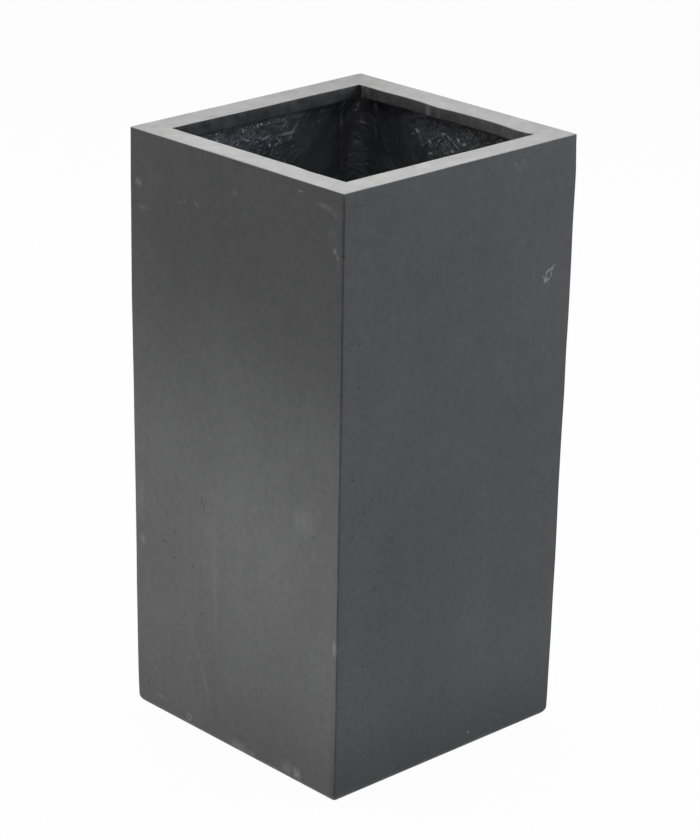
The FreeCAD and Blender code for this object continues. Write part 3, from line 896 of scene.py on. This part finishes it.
def make_gelcoat():
    """Matt dark grey gelcoat: mottled, pinholed and scuffed, and pale where its top is sanded and painted
    lighter, with painted shade and a painted highlight in places.
    """
    look = Look("grey_gelcoat")
    x, y, z = look.axes(look.place)
    facing_up = look.axes(look.node("TexCoord").outputs["Normal"])[2]
    clouds = look.noise(0.22, 4)
    blotches = look.noise(0.045, 4, 0.6)
    runs = look.noise(0.03, 3, 0.6, stretch=(1, 1, 7))
    grain = look.noise(0.0014, 2, 0.7)
    mottle = look.noise(0.0085, 3, 0.6)
    tone = look.total((clouds, 0.45), (blotches, 0.25), (runs, 0.15), (grain, 0.22), (mottle, 0.36))
    colour = look.mix(look.ramp(tone, 0.53, 0.95), (0.064, 0.064, 0.065), (0.096, 0.096, 0.097))

    # Darker at the foot of the front, and on the lip at the back, than on the lip at the right: painted
    # shade on the back lip and painted light on the right lip, growing towards its front end, with an uneven
    # mottle on the lips.
    at_back = look.ramp(y, MOUTH - 6 * MM, MOUTH - 2 * MM)
    at_right = look.ramp(x, MOUTH - 6 * MM, MOUTH - 2 * MM)
    across = look.math("ABSOLUTE", x)
    away = look.math("ABSOLUTE", y)
    on_lip = look.ramp(look.greater(across, away), MOUTH + 3 * MM, MOUTH + 6 * MM, 1.0, 0.0)
    # Painted light on the right lip, stronger towards its front end.
    painted_lip_light = look.ramp(y, -0.14, 0.13, 0.55, -0.20)
    uneven = look.ramp(look.noise(0.016, 4, 0.65), 0.30, 0.70, -0.28, 0.28)
    # Painted shadow at the foot of the front, where it meets the floor.
    low = look.ramp(z, 0.0, 0.11, 1.0, 0.0)
    foot = look.times(low, look.ramp(y, -0.165, -0.16, 1.0, 0.0))
    painted_shading_and_mottle = look.total((at_back, -0.34), (at_right, painted_lip_light), total=uneven)
    painted_shading_and_mottle = look.total((painted_shading_and_mottle, on_lip), (foot, -0.29), total=1.0)
    colour = look.scaled(colour, painted_shading_and_mottle)

    # Painted shade: a darker line beside the front face's upright edges.
    half = look.total((z, DRAFT / HEIGHT), total=TOP_HALF - DRAFT)
    from_side = look.math("SUBTRACT", half, across)
    from_front = look.plus(half, y)
    painted_arris_shade = look.ramp(from_side, 0.8 * MM, 3.4 * MM, 1.0, 0.0)
    painted_arris_shade = look.times(painted_arris_shade, look.ramp(from_front, 0.5 * MM, 1.6 * MM, 1.0, 0.0))
    painted_arris_shade = look.times(painted_arris_shade, look.ramp(z, HEIGHT - 10 * MM, HEIGHT - 2 * MM, 0.62, 0.0))
    colour = look.mix(painted_arris_shade, colour, (0.018, 0.018, 0.026))

    # Upright edges and the foot, rubbed paler where they are handled.
    from_arris = look.math("SUBTRACT", half, look.math("MINIMUM", across, away))
    wear_and_highlight = look.ramp(from_arris, 0.4 * MM, 2.6 * MM, 1.0, 0.0)
    patchy = look.ramp(look.noise(0.02, 4, 0.65), 0.42, 0.70)
    wear_and_highlight = look.times(wear_and_highlight, look.times(patchy, 0.10))
    at_foot = look.times(look.ramp(z, 1 * MM, 9 * MM, 1.0, 0.0), patchy)
    wear_and_highlight = look.greater(wear_and_highlight, look.times(at_foot, 0.22))

    # Scuffs, drawn as pale chalky marks, and among them the painted highlight on the back right corner bead.
    scuffs = on_wall(0, OUTER_FACE, LEFT_SCUFFS) + on_wall(0, OUTER_FACE, LEFT_LOOPS, loop=True)
    scuffs += on_wall(1, OUTER_FACE, FRONT_SCUFFS) + on_wall(1, OUTER_FACE, FRONT_LOOPS, loop=True)
    wear_and_highlight = look.marked(wear_and_highlight, look.wobbly(0.006, 3.2 * MM), scuffs + anywhere(TOP_SCUFFS_AND_HIGHLIGHT))
    broken = look.ramp(look.noise(0.0030, 3, 0.7), 0.36, 0.62, 0.22, 1.0)
    chalk_and_highlight = look.times(wear_and_highlight, broken)
    colour = look.mix(chalk_and_highlight, colour, (0.34, 0.34, 0.34))

    # The top, paler where it faces up: partly sanded, partly painted light from the lamps above, with
    # painted shade towards the back and right rails.
    sanded = look.ramp(facing_up, 0.55, 0.92)
    swirl = look.total((look.noise(0.02, 5, 0.65), 0.7), (grain, 0.3))
    sanded_and_lit_colour = look.mix(look.ramp(swirl, 0.32, 0.68), (0.370, 0.370, 0.362), (0.460, 0.460, 0.451))
    to_back = look.ramp(y, 0.05, 0.165)
    to_right = look.ramp(x, -0.05, 0.165)
    # Painted shade: the top is darker towards the back and right rails.
    painted_rail_shade = look.total((to_back, -0.17), (to_right, -0.13), total=1.0)
    sanded_and_lit_colour = look.scaled(sanded_and_lit_colour, painted_rail_shade)
    colour = look.mix(sanded, colour, sanded_and_lit_colour)

    # Pinholes, crowded near the front edge and in the lower half of the front.
    cells = look.node("TexVoronoi", {"Vector": look.place, "Scale": 150.0})
    hole = look.ramp(cells.outputs["Distance"], 0.07, 0.19, 1.0, 0.0)
    some = look.axes(cells.outputs["Color"])[0]
    near_edge = look.ramp(look.total((z, 0.12), total=x), -0.17, 0.02, 1.0, 0.1)
    on_front = look.ramp(y, -0.165, -0.16, 1.0, 0.05)
    on_left = look.ramp(x, -0.168, -0.160, 0.45, 0.0)
    on_left = look.times(on_left, look.ramp(y, 0.0, 0.10))
    on_front = look.greater(on_front, on_left)
    low_down = look.ramp(z, 0.25, 0.62, 1.0, 0.15)
    crowd = look.times(look.times(near_edge, on_front), low_down)
    crowd = look.times(crowd, look.ramp(look.noise(0.05, 2), 0.35, 0.65, 0.25, 1.0))
    chosen = look.math("LESS_THAN", some, look.times(crowd, 0.55))
    holes = look.times(hole, chosen)
    flecks = on_wall(0, OUTER_FACE, LEFT_FLECKS) + on_wall(1, OUTER_FACE, FRONT_FLECKS)
    dark = look.marked(holes, look.after(look.place, wear_and_highlight), flecks + anywhere(TOP_FLECKS))
    colour = look.mix(dark, colour, (0.012, 0.012, 0.013))

    roughness = look.ramp(blotches, 0.3, 0.7, 0.50, 0.62)
    roughness = look.plus(roughness, look.times(sanded, 0.22))
    orange_peel = look.bump(look.noise(0.007, 2), 0.05 * MM)
    toothed = look.bump(grain, 0.02 * MM, orange_peel)
    pitted = look.bump(look.math("SUBTRACT", 1.0, holes), 0.35 * MM, toothed)
    return look.set(Base_Color=colour, Roughness=roughness, Normal=pitted, Specular_IOR_Level=0.25)


# Ways in which the shader's fine strands lie: turns about the three axes, in radians.
STRAND_TURNS = [(0.3, 0.9, 0.2), (1.1, 0.2, 0.8), (0.7, 1.6, 1.3)]
STRAND_TURNS += [(1.9, 0.6, 2.2), (0.1, 0.5, 2.7), (0.4, 2.5, 0.5)]


def make_laminate():
    """Black resin over chopped strands: glossy pools, duller glass, and fine strands in relief, with painted
    glints, a painted shadow under the lip and corners painted paler.
    """
    look = Look("black_laminate")
    strands = None
    for k, turn in enumerate(STRAND_TURNS):
        turned = look.node("Mapping", {"Vector": look.place, "Rotation": turn}).outputs[0]
        lines = look.noise(0.0026, 1.0, 0.5, place=turned, stretch=(9, 1, 1))
        ridge = look.ramp(lines, 0.54, 0.68)
        gate = look.ramp(look.noise(0.013 + 0.002 * k, 1, place=turned), 0.42, 0.56)
        ridge = look.times(ridge, gate)
        strands = ridge if strands is None else look.greater(strands, ridge)
    # More resin has run into the corners, so the strands hardly show there. The corners are also painted
    # paler, as painted light where little light reaches.
    x, y, height = look.axes(look.place)
    nearer = look.math("MINIMUM", look.math("ABSOLUTE", x), look.math("ABSOLUTE", y))
    flooded = look.ramp(nearer, 0.020, 0.085)
    strands = look.times(strands, look.total((flooded, -0.78), total=1.0))
    pools = look.noise(0.016, 3, 0.5)
    # Painted light: the resin's colour is paler towards the corners.
    resin = look.mix(flooded, (0.039, 0.0403, 0.046), (0.134, 0.138, 0.152))
    colour = look.mix(strands, resin, (0.105, 0.108, 0.120))
    dry = look.times(look.ramp(look.noise(0.05, 3), 0.50, 0.68), 0.5)
    colour = look.mix(dry, colour, (0.100, 0.100, 0.103))
    # Painted shadow on the mat just under the lip.
    painted_lip_shadow = look.ramp(height, LIP_END - 31 * MM, LIP_END - 15 * MM, 1.0, 0.45)
    colour = look.scaled(colour, painted_lip_shadow)

    # Painted glints: near-white spots in the colour, standing in for beads and runs of clear resin and bare
    # glass catching the light.
    painted_glints = on_wall(0, INNER_FACE, RIGHT_PAINTED_GLINTS, through=12)
    painted_glints += on_wall(1, INNER_FACE, BACK_PAINTED_GLINTS, through=12) + [LEANING_PAINTED_GLINT]
    painted_glint_share = look.marked(0.0, look.wobbly(0.005, 2.0 * MM), painted_glints, core=0.2)
    colour = look.mix(painted_glint_share, colour, (0.90, 0.91, 0.95))
    roughness = look.ramp(pools, 0.35, 0.62, 0.46, 0.60)
    surface = look.bump(pools, 3.0 * MM)
    surface = look.bump(look.noise(0.0042, 3, 0.65), 0.6 * MM, surface)
    surface = look.bump(strands, 0.45 * MM, surface)
    gloss = look.bump(look.noise(0.0065, 1.5, 0.5), 1.6 * MM)
    gloss = look.bump(strands, 0.6 * MM, gloss)
    return look.set(
        Base_Color=colour,
        Roughness=roughness,
        Normal=surface,
        Specular_IOR_Level=0.7,
        Coat_Weight=look.ramp(pools, 0.40, 0.60, 1.0, 0.5),
        Coat_Roughness=0.12,
        Coat_Normal=gloss,
    )


def make_rubber():
    """Matt black moulded rubber with a dusty bloom."""
    look = Look("black_rubber")
    bloom = look.ramp(look.noise(0.008, 4, 0.65), 0.42, 0.72)
    colour = look.mix(bloom, (0.016, 0.016, 0.017), (0.034, 0.034, 0.034))
    roughness = look.ramp(bloom, 0.0, 1.0, 0.58, 0.78)
    surface = look.bump(look.noise(0.0009, 3, 0.6), 0.04 * MM)
    return look.set(Base_Color=colour, Roughness=roughness, Normal=surface)


# ---- the room ----
def seen_directly(tree):
    """1 for camera, mirror and glass rays, which see the white background, and 0 for others."""
    rays = add_node(tree, "LightPath").outputs
    inputs = {0: rays["Is Glossy Ray"], 1: rays["Is Transmission Ray"]}
    through = add_node(tree, "Math", inputs, operation="MAXIMUM").outputs[0]
    inputs = {0: rays["Is Camera Ray"], 1: through}
    return add_node(tree, "Math", inputs, operation="MAXIMUM").outputs[0]


def make_world(fill):
    """A soft even fill, with a white background where it is seen."""
    world = bpy.data.worlds.new("studio")
    bpy.context.scene.world = world
    world.use_nodes = True
    tree = world.node_tree
    soft = tree.nodes["Background"]
    soft.inputs["Color"].default_value = (*fill, 1.0)
    white = add_node(tree, "Background", {"Color": (1.0, 1.0, 1.0, 1.0)})
    inputs = {0: seen_directly(tree), 1: soft.outputs[0], 2: white.outputs[0]}
    mixed = add_node(tree, "MixShader", inputs)
    feed(tree, tree.nodes["World Output"].inputs[0], mixed.outputs[0])


def make_floor(albedo, whiteness):
    """A pale floor, seen nearly white, that keeps the planter's soft shadow."""
    look = Look("pale_floor")
    look.set(Base_Color=(albedo, albedo, albedo, 1.0), Roughness=1.0, Specular_IOR_Level=0.0)
    share = look.times(seen_directly(look.tree), whiteness)
    glow = look.node("Emission").outputs[0]
    mixed = look.node("MixShader", {0: share, 1: look.shader.outputs[0], 2: glow})
    feed(look.tree, look.tree.nodes["Material Output"].inputs[0], mixed.outputs[0])
    mesh = bpy.data.meshes.new("floor")
    mesh.from_pydata([(-9, -9, 0), (9, -9, 0), (9, 9, 0), (-9, 9, 0)], [], [(0, 1, 2, 3)])
    mesh.materials.append(look.material)
    floor = add_object("floor", mesh)


def make_light(name, place, aim, size, radiance, colour=(1.0, 1.0, 1.0), spread=180):
    """A soft box of a width and height in metres, that the camera doesn't see."""
    lamp = bpy.data.lights.new(name, "AREA")
    lamp.shape = "RECTANGLE"
    lamp.size, lamp.size_y = size
    lamp.energy = radiance * math.pi * size[0] * size[1]
    lamp.color = colour
    lamp.spread = math.radians(spread)
    light = add_object(name, lamp)
    light.visible_camera = False
    light.location = place
    light.rotation_euler = (Vector(aim) - Vector(place)).to_track_quat("-Z", "Y").to_euler()


def make_camera(place, azimuth, pitch, roll, lens):
    """The photograph's camera, as fitted to the planter's corners. Degrees, and mm for a 36 mm sensor."""
    data = bpy.data.cameras.new("camera")
    data.lens = lens
    data.sensor_width = 36.0
    data.clip_end = 60.0
    camera = add_object("camera", data)
    turned = Matrix.Rotation(math.radians(-azimuth), 3, "Z")
    turned = turned @ Matrix.Rotation(math.radians(90 - pitch), 3, "X")
    turned = (turned @ Matrix.Rotation(math.radians(roll), 3, "Z")).to_4x4()
    turned.translation = Vector(place)
    camera.matrix_world = turned
    bpy.context.scene.camera = camera


# ---- put it together ----
make_camera((-2.175166, -2.312527, 1.581287), azimuth=43.295, pitch=21.018, roll=1.072, lens=128.83)
GELCOAT = make_gelcoat()
LAMINATE = make_laminate()
RUBBER = make_rubber()
STRANDS = strand_map(2 * TOP_HALF, HEIGHT, 5)
# Seed, then height, lap, cove, and whether the strip runs up (1) or down (-1) from there.
LAPS = [
    ("base", 80, (SHEET_HIGH.z, BASE_LAP, BASE_COVE, 1)),
    ("rim", 85, (PLATE_UNDER, RIM_LAP, RIM_COVE, -1)),
]


def stand_for(piece, node, body):
    """Puts a piece in place of a solid."""
    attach(piece, body)
    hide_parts(node)


stand_for(make_skin(GELCOAT), "outer_shell", "planter")
stand_for(make_rim_plate(GELCOAT), "rim_flange", "planter")
stand_for(make_base_mat(STRANDS, LAMINATE), "base_laminate", "planter")
stand_for(make_bung(RUBBER), "drain_plug", "drain_plug")
for turns, side in enumerate(SIDES):
    stand_for(make_lip(side, turns, GELCOAT), f"lip_strip_{side}", "planter")
    mat = make_wall_mat(side, turns, STRANDS, LAMINATE)
    stand_for(mat, f"wall_laminate_{side}", "planter")
    for where, seed, sizes in LAPS:
        mat = make_side_lap(f"{where}_lap_{side}", turns, *sizes, STRANDS, seed + turns, LAMINATE)
        stand_for(mat, f"{where}_strip_{side}", "planter")
for turns, corner in enumerate(CORNERS):
    stand_for(make_bead(corner, turns, GELCOAT), f"lip_corner_bead_{corner}", "planter")
    mat = make_corner_mat(corner, turns, STRANDS, 90 + turns, LAMINATE)
    stand_for(mat, f"corner_strip_{corner}", "planter")

make_world((0.135, 0.135, 0.138))
make_floor(0.80, 0.97)
make_light("overhead", (0.4, 0.5, 3.1), (0, 0, 0.7), (2.6, 2.6), 3.4)
make_light("low_left", (-0.80, -0.03, 0.22), (-0.17, -0.03, 0.22), (0.75, 0.28), 1.05, spread=62)
make_light("front_right", (1.2, -2.6, 1.4), (0.1, -0.17, 0.4), (1.6, 1.6), 2.55, (0.82, 0.87, 1.0))
make_light("back_left", (-1.9, 2.1, 1.9), (0.14, 0.0, 0.66), (1.6, 1.2), 2.9)
make_light("glint_left", (-1.7, 1.7, 1.75), (0.15, 0.0, 0.65), (0.25, 0.25), 28.0)
make_light("glint_right", (1.9, -2.0, 1.5), (0.0, 0.15, 0.65), (0.40, 0.40), 30.0, (0.82, 0.87, 1.0))

bpy.context.scene.view_settings.view_transform = "Standard"
